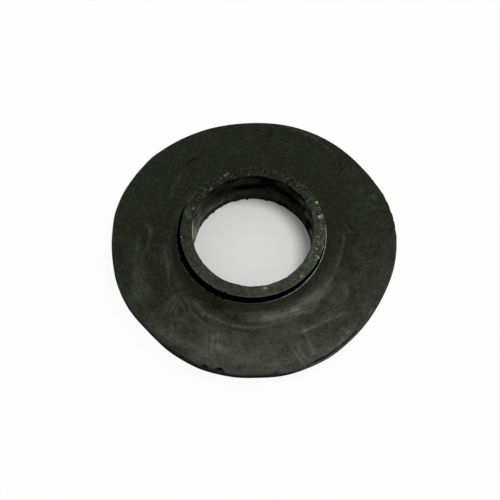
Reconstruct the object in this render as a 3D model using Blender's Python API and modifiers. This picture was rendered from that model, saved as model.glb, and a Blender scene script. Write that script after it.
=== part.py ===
"""Flush valve gasket: one moulded rubber ring, with a grooved collar round its bore and a wide dished flange.

Metres, +Z up. The origin is at the middle of the flange, level with the flat seat on the underside.
Run it with blender --background --python part.py, or from Blender's text editor.
"""

import math

import bpy
import numpy as np

MM = 0.001

# Widths, outwards from the axis
BORE_RADIUS = 17.0 * MM
NECK_WALL = 1.7 * MM
LIP_OVERHANG = 1.6 * MM
GROOVE_GAP = 0.6 * MM
HUB_FLARE = 4.1 * MM
FLANGE_WIDTH = 15.0 * MM

# Heights, upwards from the seat
FOOT_THICKNESS = 3.1 * MM
RIM_THICKNESS = 2.6 * MM
HUB_RISE = 7.8 * MM
COLLAR_RISE = 2.6 * MM

# The groove between the collar and the hub, and the lip over it
LIP_DEPTH = 1.6 * MM
GROOVE_DEPTH = 1.9 * MM
GROOVE_LEAN = 0.5 * MM
GROOVE_ROUND = 0.6 * MM

# The bore's wall: a land at the bottom, a shallow recess above it and a thin land at the top
BORE_TAPER = 0.1 * MM
LOWER_LAND = 7.0 * MM
UPPER_LAND = 0.5 * MM
RECESS_DEPTH = 0.25 * MM
RECESS_SLOPE = 0.4 * MM

# Edges
EDGE_BREAK = 0.12 * MM
RIM_ROUND = 0.35 * MM

# How the rubber has set out of true. The first values lift the rim into its dish and waves. The last four
# move what lies inside it along X: the hub, the hub's edge, the collar's top and the sides of the oval bore.
DISH = 3.8 * MM
DISH_CURVE = 1.6
TILT = 1.8 * MM
TILT_CREST = math.radians(254)
SADDLE = 1.95 * MM
SADDLE_CREST = math.radians(-13)
THREE_WAVE = 0.75 * MM
THREE_WAVE_CREST = math.radians(-30)
FOUR_WAVE = 0.55 * MM
FOUR_WAVE_CREST = math.radians(-24)
HUB_SHIFT = -0.3 * MM
HUB_LEAN = -0.25 * MM
COLLAR_LEAN = 0.3 * MM
BORE_OVAL = 0.28 * MM

# How finely curves are stepped
TURN_STEPS = 96
FILLET_STEPS = 7
FLANGE_STEPS = 8
ROUND_STEPS = 3

RUBBER_COLOUR = (0.022, 0.024, 0.018, 1.0)
RUBBER_ROUGHNESS = 0.62

# Places that follow from the sizes
NECK_RADIUS = BORE_RADIUS + NECK_WALL
LIP_RADIUS = NECK_RADIUS + LIP_OVERHANG
HUB_RADIUS = LIP_RADIUS + GROOVE_GAP
FOOT_RADIUS = HUB_RADIUS + HUB_FLARE
RIM_RADIUS = FOOT_RADIUS + FLANGE_WIDTH
HUB_HEIGHT = FOOT_THICKNESS + HUB_RISE
COLLAR_HEIGHT = HUB_HEIGHT + COLLAR_RISE
GROOVE_FLOOR = HUB_HEIGHT - GROOVE_DEPTH


def clear_scene():
    """Remove every object that the scene starts with."""
    for obj in list(bpy.data.objects):
        bpy.data.objects.remove(obj, do_unlink=True)


def ellipse(centre, half_width, half_height, start, end, steps):
    """Points along an ellipse's arc, from the start angle to the end angle, both ends included."""
    return [
        (centre[0] + half_width * math.cos(angle), centre[1] + half_height * math.sin(angle))
        for angle in np.linspace(math.radians(start), math.radians(end), steps + 1)
    ]


def line(start, end, steps):
    """Evenly spaced points of a straight line, without its two ends."""
    return [
        (start[0] + (end[0] - start[0]) * step / steps, start[1] + (end[1] - start[1]) * step / steps)
        for step in range(1, steps)
    ]


def collar_section():
    """The collar's flat top, then down its undercut side to the round floor of the groove."""
    wall_foot = HUB_RADIUS - GROOVE_LEAN
    middle = (NECK_RADIUS + wall_foot) / 2
    half_gap = (wall_foot - NECK_RADIUS) / 2
    floor = ellipse((middle, GROOVE_FLOOR + GROOVE_ROUND), half_gap, GROOVE_ROUND, 180, 360, 2 * ROUND_STEPS)
    return [
        (BORE_RADIUS + EDGE_BREAK, COLLAR_HEIGHT),
        (LIP_RADIUS, COLLAR_HEIGHT),
        (NECK_RADIUS, COLLAR_HEIGHT - LIP_DEPTH),
        *floor,
    ]


def flange_section():
    """The hub's hollow flare, the flange's top out to its rounded rim, and its underside back to the seat."""
    flare = ellipse((FOOT_RADIUS, HUB_HEIGHT), HUB_FLARE, HUB_RISE, 180, 270, FILLET_STEPS)
    inner = RIM_RADIUS - RIM_ROUND
    top = ellipse((inner, RIM_THICKNESS - RIM_ROUND), RIM_ROUND, RIM_ROUND, 90, 0, ROUND_STEPS)
    bottom = ellipse((inner, RIM_ROUND), RIM_ROUND, RIM_ROUND, 0, -90, ROUND_STEPS)
    seat_edge = (HUB_RADIUS, 0.0)
    return [
        *flare,
        *line(flare[-1], top[0], FLANGE_STEPS),
        *top,
        *bottom,
        *line(bottom[-1], seat_edge, FLANGE_STEPS),
        seat_edge,
    ]


def bore_section():
    """The seat's inner edge, then up the bore: the tapered lower land, the recess and the thin upper land."""
    narrow = BORE_RADIUS - BORE_TAPER
    recess = BORE_RADIUS + RECESS_DEPTH
    recess_top = COLLAR_HEIGHT - UPPER_LAND
    return [
        (narrow + EDGE_BREAK, 0.0),
        (narrow, EDGE_BREAK),
        (BORE_RADIUS, LOWER_LAND),
        (recess, LOWER_LAND + RECESS_SLOPE),
        (recess, recess_top - RECESS_DEPTH),
        (BORE_RADIUS, recess_top),
        (BORE_RADIUS, COLLAR_HEIGHT - EDGE_BREAK),
    ]


def turned_mesh():
    """Turn the half section about Z with a Screw modifier, and return the closed mesh."""
    section = collar_section() + flange_section() + bore_section()
    count = len(section)
    profile = bpy.data.meshes.new("gasket_section")
    profile.from_pydata(
        [(radius, 0.0, height) for radius, height in section],
        [(index, (index + 1) % count) for index in range(count)],
        [],
    )
    turned = bpy.data.objects.new("gasket_section", profile)
    bpy.context.scene.collection.objects.link(turned)
    screw = turned.modifiers.new("Turn", "SCREW")
    screw.axis = "Z"
    screw.angle = math.tau
    screw.steps = TURN_STEPS
    screw.render_steps = TURN_STEPS
    screw.use_merge_vertices = True
    screw.merge_threshold = 0.00001
    graph = bpy.context.evaluated_depsgraph_get()
    mesh = bpy.data.meshes.new_from_object(turned.evaluated_get(graph))
    bpy.data.objects.remove(turned, do_unlink=True)
    bpy.data.meshes.remove(profile)
    return mesh


def sideways(radius, angle, z):
    """How far each point moves along X: not at all at the rim, and by the shift, leans and oval inside it."""
    outwards = np.clip((radius - HUB_RADIUS) / (RIM_RADIUS - HUB_RADIUS), 0, 1)
    inwards = np.clip((LIP_RADIUS - radius) / (LIP_RADIUS - BORE_RADIUS), 0, 1)
    on_collar = radius < (LIP_RADIUS + HUB_RADIUS) / 2
    on_collar &= (radius < NECK_RADIUS + MM * 0.01) | (z > HUB_HEIGHT)
    up_collar = np.clip((z - GROOVE_FLOOR) / (COLLAR_HEIGHT - GROOVE_FLOOR), 0, 1)
    up_hub = np.clip((z - FOOT_THICKNESS) / (HUB_HEIGHT - FOOT_THICKNESS), 0, 1)
    leaning = np.where(on_collar, COLLAR_LEAN * up_collar, HUB_LEAN * up_hub)
    return HUB_SHIFT * (1 - outwards) + leaning - BORE_OVAL * inwards * np.cos(angle)


def set_out_of_true(mesh):
    """Lift all that lies outside the hub's edge into the dish and waves, and move the rest sideways."""
    points = np.empty(len(mesh.vertices) * 3)
    mesh.vertices.foreach_get("co", points)
    x, y, z = points.reshape(-1, 3).T
    radius = np.hypot(x, y)
    angle = np.arctan2(y, x)
    rim_lift = DISH + TILT * np.cos(angle - TILT_CREST) + SADDLE * np.cos(2 * (angle - SADDLE_CREST))
    rim_lift += THREE_WAVE * np.cos(3 * (angle - THREE_WAVE_CREST))
    rim_lift += FOUR_WAVE * np.cos(4 * (angle - FOUR_WAVE_CREST))
    outwards = np.clip((radius - HUB_RADIUS) / (RIM_RADIUS - HUB_RADIUS), 0, 1)
    moved = np.column_stack((x + sideways(radius, angle, z), y, z + rim_lift * outwards**DISH_CURVE))
    mesh.vertices.foreach_set("co", moved.ravel())
    mesh.update()


def rubber():
    """Black moulded rubber, as a Principled material."""
    material = bpy.data.materials.new("rubber")
    material.use_nodes = True
    shader = material.node_tree.nodes["Principled BSDF"]
    shader.inputs["Base Color"].default_value = RUBBER_COLOUR
    shader.inputs["Roughness"].default_value = RUBBER_ROUGHNESS
    shader.inputs["Metallic"].default_value = 0.0
    material.diffuse_color = RUBBER_COLOUR
    return material


def make_gasket(collection):
    """The one moulded piece."""
    mesh = turned_mesh()
    mesh.name = "gasket"
    set_out_of_true(mesh)
    mesh.shade_smooth()
    mesh.set_sharp_from_angle(angle=math.radians(35))
    mesh.materials.clear()
    mesh.materials.append(rubber())
    gasket = bpy.data.objects.new("gasket", mesh)
    collection.objects.link(gasket)
    return gasket


def main():
    clear_scene()
    collection = bpy.data.collections.new("flush_valve_gasket")
    bpy.context.scene.collection.children.link(collection)
    make_gasket(collection)


if __name__ == "__main__":
    main()
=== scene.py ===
"""A flush valve gasket: the finished surface of its one black rubber moulding, on a pale floor.

Metres, +Z up. The middle of the flange is at zero, and the seat on the underside lies at height zero.
"""

import math

import bpy
import numpy as np
from mathutils import Matrix, Vector


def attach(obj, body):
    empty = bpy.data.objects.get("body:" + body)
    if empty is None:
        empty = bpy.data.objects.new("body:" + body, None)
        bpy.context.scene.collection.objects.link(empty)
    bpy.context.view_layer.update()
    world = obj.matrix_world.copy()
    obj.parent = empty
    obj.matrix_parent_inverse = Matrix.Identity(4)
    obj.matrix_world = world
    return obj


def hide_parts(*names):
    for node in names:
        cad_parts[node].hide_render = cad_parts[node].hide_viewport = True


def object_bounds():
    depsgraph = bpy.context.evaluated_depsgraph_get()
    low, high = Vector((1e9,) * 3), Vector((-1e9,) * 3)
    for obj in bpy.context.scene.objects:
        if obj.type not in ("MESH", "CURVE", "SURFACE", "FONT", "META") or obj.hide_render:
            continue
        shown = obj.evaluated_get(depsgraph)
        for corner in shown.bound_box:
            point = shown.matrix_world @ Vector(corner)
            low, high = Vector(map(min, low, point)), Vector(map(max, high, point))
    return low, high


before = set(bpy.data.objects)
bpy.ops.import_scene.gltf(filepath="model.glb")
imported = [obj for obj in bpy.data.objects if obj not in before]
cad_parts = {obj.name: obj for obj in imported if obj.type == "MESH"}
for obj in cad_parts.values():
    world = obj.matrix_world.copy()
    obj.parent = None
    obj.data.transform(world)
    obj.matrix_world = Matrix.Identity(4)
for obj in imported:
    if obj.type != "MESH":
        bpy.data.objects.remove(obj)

bl_info = {
    "name": "Flush Valve Gasket",
    "version": (1, 0, 0),
    "blender": (4, 5, 0),
    "location": "View3D > Sidebar > Gasket",
    "description": "Moulds a worn rubber gasket over its packed model and lights it in a plain studio",
    "category": "Object",
}

MM = 0.001
CAD_LOW, CAD_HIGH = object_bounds()
RIM_RADIUS = (CAD_HIGH.x - CAD_LOW.x) / 2
FULL_HEIGHT = CAD_HIGH.z - CAD_LOW.z
WHITE = (1.0, 1.0, 1.0, 1.0)

# Steps round the ring, and points of the section in each of its stretches
TURN_STEPS = 600
FACE_POINTS = 14
LIP_POINTS = 4
UNDERCUT_POINTS = 4
FLOOR_POINTS = 6
GROOVE_WALL_POINTS = 3
HUB_LAND_POINTS = 3
HUB_ROUND_POINTS = 2
FLARE_POINTS = 34
FLANGE_POINTS = 48
CORNER_POINTS = 5
RIM_POINTS = 4
UNDERSIDE_POINTS = 6
SEAT_POINTS = 3
BORE_FOOT_POINTS = 3
LAND_POINTS = 12
RECESS_POINTS = 9
UPPER_LAND_POINTS = 3
BORE_ROUND_POINTS = 2

# Steps of a stroke from each of its points to the next, the share of it over which each end fades, and how
# strong its very end still is
STROKE_STEPS = 5
STROKE_END = 0.2
STROKE_END_STRENGTH = 0.4

# How sharp the lip and the hub's edge are
LIP_ROUND = 0.08 * MM
HUB_ROUND = 0.06 * MM

# The radius and the height, in millimetres, over which a cloud's rows are spread, and the part of
# them that it uses, so that there is always a row after
CLOUD_RADIUS = 41
CLOUD_HEIGHT = 13.6
CLOUD_PART = 0.9999

# The nearest and the furthest that the camera sees
CAMERA_REACH = (10 * MM, 10.0)

# The levels of a bell between which the sides of a plateau rise
PLATEAU_SIDES = (0.1, 0.75)

# Noises of the rubber: features a metre, detail and roughness. The values under the list stretch
# the last two, so that the streaks run round the ring and the strokes along Y.
NOISES = {
    "cloudy": (210.0, 5.0, 0.6),
    "mottled": (640.0, 4.0, 0.6),
    "grain": (2200.0, 2.0, 0.6),
    "tint": (330.0, 2.0, 0.5),
    "specks": (3000.0, 2.0, 0.7),
    "streaks": (1.0, 3.0, 0.6),
    "strokes": (1.0, 3.0, 0.6),
}
STREAKS_ROUND = 2.2
STREAKS_OUTWARDS = 1400.0
STROKES_ACROSS = 1500.0
STROKES_ALONG = 220.0

# Wandering lines round the ring: mean, strength, how many values each joins, and seed
WANDERS = {
    "rim_grain": (0, 0.6, 240, 11),
    "rim_ripple": (0, 0.4, 110, 12),
    "rim_swell": (0, 0.02, 26, 13),
    "hub_flash": (0.75, 0.25, 150, 21),
    "bore_foot": (0, 0.04, 170, 31),
    "bore_edge": (0.5, 0.5, 130, 42),
    "rim_crumbs": (0, 1, 180, 62),
    "back_rim_crumbs": (0, 1, 160, 63),
    "hub_line": (0.7, 0.3, 260, 64),
    "worn_edge": (0, 1, 170, 84),
    "rim_line": (0.7, 0.4, 60, 85),
}

# Clouds over the surface: mean, strength, how many values each joins round the ring and across, and seed
CLOUDS = {
    "wall_swell": (0, 0.09, 60, 7, 32),
    "wall_grain": (0, 0.05, 170, 14, 33),
    "face_pits": (0, 1, 300, 9, 41),
    "flange_swell": (0, 0.09, 22, 4, 51),
    "drift_x": (0, 1, 150, 16, 71),
    "drift_y": (0, 1, 150, 16, 72),
    "broken": (1, 0.2, 210, 30, 73),
    "face_scuffs": (0, 1, 260, 60, 74),
    "wall_patches": (0, 0.04, 46, 6, 75),
    "wall_streaks": (0.7, 0.8, 60, 24, 76),
    "patch_turn": (0, 0.025, 100, 12, 77),
    "patch_rise": (0, 0.5, 80, 10, 78),
    "flake_edges": (1, 0.5, 420, 110, 79),
    "wall_specks": (0, 1, 250, 24, 80),
    "face_dots": (0, 1, 250, 80, 81),
    "wall_crumbs": (0, 1, 150, 9, 82),
}

# Levels of a wander or a cloud: where each kind of mark begins to come out, and where it is full
LEVELS = {
    "ragged_rim": (-0.5, 0.7),
    "face_pits": (0.1, 0.9),
    "rim_crumbs": (0, 0.6),
    "worn_edge": (-0.2, 0.4),
    "face_dots": (0.2, 0.6),
    "face_scuffs": (0.2, 0.8),
    "flakes": (0.25, 0.6),
    "wall_specks": (0.1, 0.8),
    "wall_gaps": (-0.2, -0.7),
}

# The lists below place what the photograph shows on the gasket. Angles are in degrees, with 0 at the right
# and 270 in front, and lengths are in millimetres. ALL_ROUND is a half width that covers the whole ring.
ALL_ROUND = math.inf

# Nicks in the rim, the hub's edge and the lip, and tags of flash on the bore's lower edge: depth, angle and
# half width in millimetres. A negative depth fills the edge out.
RIM_NICKS = ((0.65, 248.7, 0.75), (1, 254.4, 1), (0.2, 255.5, 0.35), (0.12, 276.9, 0.35))
HUB_NICKS = (
    (0.2, 178, 0.3), (0.25, 183.5, 0.35), (0.15, 189, 0.3), (0.15, 200, 1.2), (0.12, 214.6, 0.4),
    (0.2, 233, 0.4), (0.14, 240.8, 0.5), (0.12, 246.5, 0.4),
)
LIP_NICKS = ((0.42, 246, 0.28), (0.2, 233.5, 0.3), (0.12, 191, 0.4), (-0.32, 148, 3.4))
BORE_TAGS = (
    (0.3, 105.3, 0.3), (0.25, 102.4, 0.3), (0.35, 93.6, 0.35), (0.3, 74.1, 0.3), (0.3, 129.8, 0.3),
    (0.2, 139, 0.3), (0.15, 60, 0.4), (0.15, 48, 0.3), (0.15, 120.5, 0.4),
)

# Zones of the faults: how far from an edge of the section each one begins, and where it is full
EDGE_ZONES = {
    "rim_flats": (-7, 0),
    "ragged_rim": (1.4, 2.3),
    "near_rim": (-1.5, -0.2),
    "upper_rim": (0.9, 2.2),
    "under_hub_edge": (-0.5, 0),
    "lip": (-0.6, -0.05),
    "bore_foot": (0.5, 0.1),
    "round_bore_foot": (0.6, 0),
    "under_face": (-0.7, -0.2),
    "round_bore": (0.9, 0.1),
}

# How much of a nick's depth the rim drops and the hub's edge falls outwards, and how far the whole rim
# and the bore's wall are set back
RIM_NICK_DROP = 0.5
HUB_NICK_SPREAD = 0.8
RIM_SETBACK = 0.03
WALL_SETBACK = 0.05

# How far out from the flare's foot the mould's step lies, and its half width
FOOT_STEP_OUT = 0.7
FOOT_STEP_WIDTH = 0.3

# The lists from here to the groove's painted shade are bells and plateaus round the ring: depth or
# strength, angle, and half width in degrees. The first ones are where the rim is flatter than a true
# circle, ragged and worn.
RIM_FLATS = (
    (0.3, 36, 10), (0.42, 93, 17), (0.13, 115, 6), (0.18, 126, 8), (0.14, 140, 4), (0.45, 148, 9),
    (0.24, 161, 6), (0.46, 174, 8), (0.36, 186, 8), (0.08, 202, 6), (0.52, 219, 9), (0.12, 227, 5),
    (-0.2, 247, 6), (0.3, 270, 7), (-0.2, 300, 7), (0.23, 333, 12),
)
RIM_RAGGED = ((0.2, 11, 19),)
RIM_WORN = ((0.06, 48, 24),)

# Where flash stands up on the hub's edge, and where that edge and the lip are fuller
HUB_FLASH = ((0.2, 318, 52),)
HUB_FULLNESS = ((0.12, 291, 22),)
LIP_FULLNESS = ((0.11, 263, 48),)

# Where the bore's upper and lower edges are fuller than a true circle, and where the upper one is bitten
BORE_FULLNESS = (
    (0.16, 85, 26), (0.1, 206, 20), (0.22, 238, 20), (0.24, 275, 26), (0.05, 316, 12), (0.17, 332, 36),
    (-0.03, 0, ALL_ROUND),
)
BORE_FOOT_FULLNESS = ((0.04, 0, ALL_ROUND), (0.17, 69, 30), (-0.07, 168, 34))
BORE_BITES = ((0.04, 0, ALL_ROUND), (0.3, 25, 30))

# How deep the collar's face is pitted, and the mould's step at the hub's foot
FACE_PITS = ((0.02, 0, ALL_ROUND), (0.05, 20, 62))
FOOT_STEP = ((0.008, 0, ALL_ROUND), (0.092, 262, 45))

# The pit in the bore's wall
PIT_DEPTH = 0.5
PIT_ANGLE = 17.0
PIT_HALF_WIDTH = 0.65
PIT_HEIGHT = 5.4
PIT_HALF_HEIGHT = 0.9

# Bloom on the flange, in a ring at its foot, on the rim, the flare, the collar's face and the face's edge.
# The heavy bloom in front is partly real dust and partly painted light, which makes the near side brighter.
FLANGE_BLOOM_AND_LIGHT = ((0.018, 0, ALL_ROUND), (0.25, 280, 58), (0.004, 200, 38), (0.03, 325, 25), (0.02, 15, 30))
FOOT_BLOOM = ((0.03, 312, 26), (-0.013, 15, 26))
RIM_BLOOM_AND_LIGHT = ((0.02, 0, ALL_ROUND), (0.34, 280, 58), (0.04, 200, 38))
FLARE_BLOOM_AND_LIGHT = (
    (0.045, 0, ALL_ROUND), (0.22, 287, 45), (0.09, 200, 38), (0.01, 325, 25), (0.08, 145, 45),
    (0.026, 105, 30), (0.026, 208, 14), (0.02, 272, 14),
)
FACE_BLOOM_AND_LIGHT = ((0.01, 0, ALL_ROUND), (0.17, 290, 62), (0.11, 210, 42), (0.05, 345, 35))
FACE_EDGE_BLOOM = ((0.14, 275, 60),)

# Powder on the face, its crumbs, thickest at the face's outer edge, and coarse specks on the bore's wall
FACE_POWDER = ((0.075, 0, ALL_ROUND), (0.16, 130, 24))
FACE_CRUMBS = ((0.22, 15, 58),)
RIGHT_CRUMBS = ((0.22, 345, 35),)
WALL_CRUMBS = ((1, 38, 40),)

# Pale crumbs on the rim in front and behind, painted light on the rim's side in front where it is lit, and
# a painted highlight along the line of the hub's flash
RIM_CRUMBS = ((0.24, 311, 17),)
BACK_RIM_CRUMBS = ((0.12, 62, 16),)
RIM_LIT_SIDE = ((1, 303, 19),)
HUB_EDGE_HIGHLIGHT = ((0.03, 0, ALL_ROUND), (0.9, 334, 48), (0.35, 355, 16))

# Dark places: painted shade under the hub's edge, on the rim's corner, along a line under it and on its
# lower part, on the lip, under the bore's upper edge, and in the groove; and darker marks on the face,
# along its worn edge, and as dots on it
HUB_PAINTED_SHADE = ((0.25, 300, 26),)
RIM_CORNER_PAINTED_SHADE = ((0.45, 215, 34), (0.42, 258, 28), (0.3, 42, 32))
RIM_PAINTED_SHADE_LINE = ((0.95, 301, 13),)
LOWER_RIM_PAINTED_SHADE = ((0.5, 324, 16),)
FACE_SHADE = ((0.24, 248, 15), (0.18, 166, 20))
WORN_EDGE = ((0.55, 92, 60),)
FACE_DOTS = ((0.62, 88, 62),)
LIP_PAINTED_SHADE = ((0.5, 80, 50),)
BORE_EDGE_PAINTED_SHADE = ((0.9, 62, 36),)
GROOVE_PAINTED_SHADE = ((1, 0, ALL_ROUND), (-0.16, 170, 12))

# Strengths of the rest of the wear, and of the painted light on the rim's side in front and the painted
# shade on the rim's side and in the nicks
RIM_SIDE_BLOOM = 0.05
UNDERSIDE_BLOOM = 0.08
WALL_BLOOM = 0.045
LOOSE_POWDER = 0.05
HUB_EDGE_SCUFF = 0.12
FACE_SCUFF = 0.08
RIM_SIDE_PAINTED_LIGHT = 0.35
RIM_SIDE_PAINTED_SHADE = 0.7
RIM_NICK_PAINTED_SHADE = 0.62
HUB_NICK_PAINTED_SHADE = 0.9
WALL_SPECK_BLOOM = 0.05
WALL_CRUMB_BLOOM = 0.09
WALL_SPECK_SHADE = 0.45
WALL_GAP_SHADE = 0.4

# The flange's bloom all over it, how much more lies on its outer part, the share of it that reaches the
# flare's foot, and what is added there
INNER_BLOOM = 0.75
OUTER_BLOOM = 0.34
FOOT_BLOOM_SHARE = 0.72
FOOT_BLOOM_REST = 0.01

# The crumbs all over the face, how much more lies on its outer part, and the share of the painted shade on
# the rim's side that a nick takes away
INNER_CRUMBS = 0.65
OUTER_CRUMBS = 0.5
NICK_LIGHT = 0.6

# How far marks drift sideways all over and more on the flange, and how much wider a flake's stroke is
DRIFT = 0.07
FLANGE_DRIFT = 0.23
FLAKE_SPREAD = 1.3

# The radii and heights of a few marks, and their half widths
FOOT_BLOOM_RADIUS = 26.4
FOOT_BLOOM_WIDTH = 1.6
HUB_PAINTED_SHADE_RADIUS = 21.15
HUB_PAINTED_SHADE_WIDTH = 0.35
HUB_EDGE_HEIGHT = 10.75
BORE_EDGE_PAINTED_SHADE_HEIGHT = 12.75
BORE_EDGE_PAINTED_SHADE_TALL = 0.5

# Zones of the wear and of the painted light and shade: the radii, or the heights, where each one begins and
# where it is full
RADII = {
    "outer_face": (18, 19.4),
    "face_edge": (19.5, 19.9),
    "worn_edge": (19.8, 20.2),
    "flare_foot": (22.4, 25.2),
    "drifting": (24.5, 27),
    "outer_flange": (25, 38),
    "near_rim": (38.9, 39.7),
    "rim_corner": (39.3, 39.6),
}
HEIGHTS = {
    "rim_bloom": (1.5, 2.3),
    "rim_corner": (1.9, 2.4),
    "rim_line": (2.1, 2.3),
    "rim_nicks": (1.5, 2.4),
    "over_rim_foot": (0.3, 0.8),
    "under_rim_corner": (2.4, 2.2),
    "rim_side": (2.4, 1.4),
    "lower_rim": (1.6, 0.9),
}

# Patches of the bore's wall. The dark ones are partly painted shade in the recess, under the upper land and
# in the pit, and partly dark blotches. The pale ones are partly painted light on the left and on the lower
# land, and partly pale blotches. The bright streaks on the left are painted reflections. Each has strength,
# angle and half width in degrees, and height and half height in millimetres
BORE_SHADE_AND_BLOTCHES = (
    (1.54, 107, 4, 12.3, 1), (1.12, 113, 4, 12.6, 0.9), (1.54, 91, 9, 12.8, 0.7), (1.54, 80, 9, 12.3, 1),
    (1.96, 71, 6, 12.3, 1.2), (1.68, 65, 4, 12.9, 0.8), (1.4, 47, 5, 12.6, 1), (1.4, 37, 5, 13.2, 0.6),
    (0.7, 130, 4, 12, 2), (0.7, 118, 8, 8.5, 1), (1.19, 101, 7, 7.2, 0.9), (1.33, 93, 7, 6.8, 0.8),
    (1.33, 85, 7, 7.3, 1.1), (1.33, 76, 5, 9.5, 2.6), (1.19, 69, 5, 8.9, 1), (1.19, 63, 6, 8.2, 1.4),
    (1.33, 55, 6, 7.9, 1.3), (1.05, 42, 7, 7.8, 1.2), (1.12, 47, 5, 5.8, 0.9), (0.84, 35, 4, 8.5, 0.6),
    (0.7, 29, 4, 10.2, 0.5), (1.19, 57, 8, 0.7, 0.6), (0.84, 69, 8, 0.5, 0.3), (0.7, 9.5, 1.8, 8.7, 0.7),
    (0.84, 12.5, 2, 7.6, 0.9), (3.64, 17.6, 3.4, 5.1, 2.1), (2.24, 20, 1.8, 2.6, 1.3),
    (0.98, 30, 4, 0.5, 0.6), (0.84, 106.5, 1.8, 11.7, 0.8), (0.07, 45, 12, 9, 4),
)
BORE_PALES_AND_LIGHT = (
    (0.09, 97, 6, 10.6, 1.3), (0.09, 98.5, 2.4, 10.3, 0.8), (0.07, 103, 2, 11, 0.8), (0.04, 86, 5, 10, 1),
    (0.06, 97, 10, 4.4, 1.4), (0.05, 57, 8, 11.2, 1.5), (0.09, 39, 5, 11.2, 1), (0.1, 24, 5, 6.5, 2.6),
    (0.9, 23, 3, 12, 0.8), (0.8, 23, 3.5, 8.3, 1), (1, 17, 3, 8.8, 0.9), (0.9, 11, 3, 5.4, 1.8),
    (1, 5, 4, 7.5, 2.2), (0.7, 8, 6, 12.6, 1.2), (0.5, 5, 4, 1.8, 1.2), (0.35, 33, 4, 11.2, 0.8),
    (0.55, 120, 12, 3.2, 1.4), (0.04, 132, 10, 9, 3.5), (0.65, 138, 14, 3.4, 1.6),
    (0.22, 143, 9, 5.5, 0.9), (0.18, 102, 12, 3.4, 1.4), (0.06, 75, 20, 4, 2.2), (0.74, 153, 9, 3.4, 2.4),
    (0.9, 154, 12, 11, 4.5),
)
BORE_PAINTED_REFLECTIONS = (
    (1.2, 172, 5, 9.5, 6), (1.5, 172, 6, 3.6, 2.6), (1.1, 163, 6, 3.2, 2.4), (1.15, 179, 4, 11.5, 3.6),
    (0.85, 166, 4, 11, 4), (0.34, 152, 5, 3.4, 1.8), (0.6, 150, 9, 0.4, 0.5),
)

# Strokes that left the rubber paler: strength, half width, and points in plan
LEFT_SCUFFS = (
    (0.08, 0.6, ((-29.2, 7.4), (-28.8, 5.4), (-29.1, 2.9), (-30.1, -0.3), (-30.9, -2.6))),
    (0.09, 0.66, ((-32, 2.9), (-32.5, -0.9), (-33, -5.8), (-33.2, -9.9))),
    (0.06, 1.4, ((-31.5, -3.5), (-31.6, -8), (-31.8, -12.5))),
    (0.09, 1.9, ((-32.6, -11.5), (-31.8, -13.5), (-32.5, -16))),
    (0.08, 0.6, ((-33.8, -13), (-33.8, -14.2))),
    (0.08, 0.6, ((-30, -12.6), (-30, -14))),
    (0.09, 0.28, ((-26.2, 0.3), (-25.9, -2.2), (-25.9, -5))),
    (0.13, 0.28, ((-24.8, 0), (-24.2, -3.7), (-24.3, -5.9))),
    (0.13, 0.26, ((-25.2, 1), (-23.4, -0.6), (-23, -3.1), (-23, -6.1))),
    (0.17, 0.22, ((-23.9, -4.1), (-24.1, -8.1), (-24, -10.9))),
    (0.05, 0.3, ((-24, -10.9), (-22.8, -12.8), (-22, -14))),
    (0.06, 1.2, ((-24.8, 0.5), (-24.4, -3), (-24.4, -7.5))),
    (0.07, 0.32, ((-36.2, -1.9), (-35.7, -1.9))),
)
CORNER_SCUFFS = (
    (0.11, 0.55, ((-20, -13.8), (-22.6, -14.7), (-24, -16.7), (-24.5, -19.6))),
    (0.1, 0.24, ((-19.6, -13.2), (-22, -14.2), (-23.4, -16.4))),
    (0.04, 1.5, ((-20.6, -15.2), (-22.4, -16.6))),
    (0.14, 0.36, ((-21.7, -15.4), (-23.7, -19.9))),
    (0.13, 0.36, ((-20, -14.1), (-18.8, -16.8), (-17.5, -19.5), (-15.4, -22.2), (-13.6, -24.1))),
    (0.12, 2.2, ((-12, -24.8), (-10.6, -29), (-10.4, -33))),
    (0.06, 1.6, ((-15.4, -26), (-14.2, -31), (-13.9, -35.1))),
    (0.16, 0.24, ((-20.7, -16.7), (-21.9, -18.8), (-22.5, -21))),
    (0.11, 0.24, ((-20.7, -16.7), (-19.6, -19.1), (-18.6, -21))),
    (0.08, 0.24, ((-24.8, -21.8), (-22.1, -21.9), (-19.4, -21.3))),
    (0.11, 0.24, ((-23.6, -22.7), (-19.2, -22.3))),
    (0.23, 0.44, ((-23.5, -24.3), (-22.9, -24.8))),
    (0.2, 0.32, ((-25.3, -19.4), (-25.1, -20))),
    (0.11, 1.1, ((-26.5, -25.5), (-21.1, -29.3), (-17.9, -30.4), (-13.5, -32.4))),
    (0.05, 1.6, ((-29, -21), (-26, -26))),
    (0.12, 0.4, ((-13.9, -24.8), (-14, -32.6))),
    (0.14, 0.4, ((-12.2, -24.4), (-12.5, -33.2))),
    (0.12, 0.44, ((-10.7, -24.8), (-10.2, -32.4))),
    (0.08, 0.6, ((-11.3, -31.5), (-12, -37.8))),
    (0.09, 1.8, ((-11.6, -31.2), (-6, -31))),
    (0.1, 1.3, ((-7.6, -34), (0.4, -34.6))),
)
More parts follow.
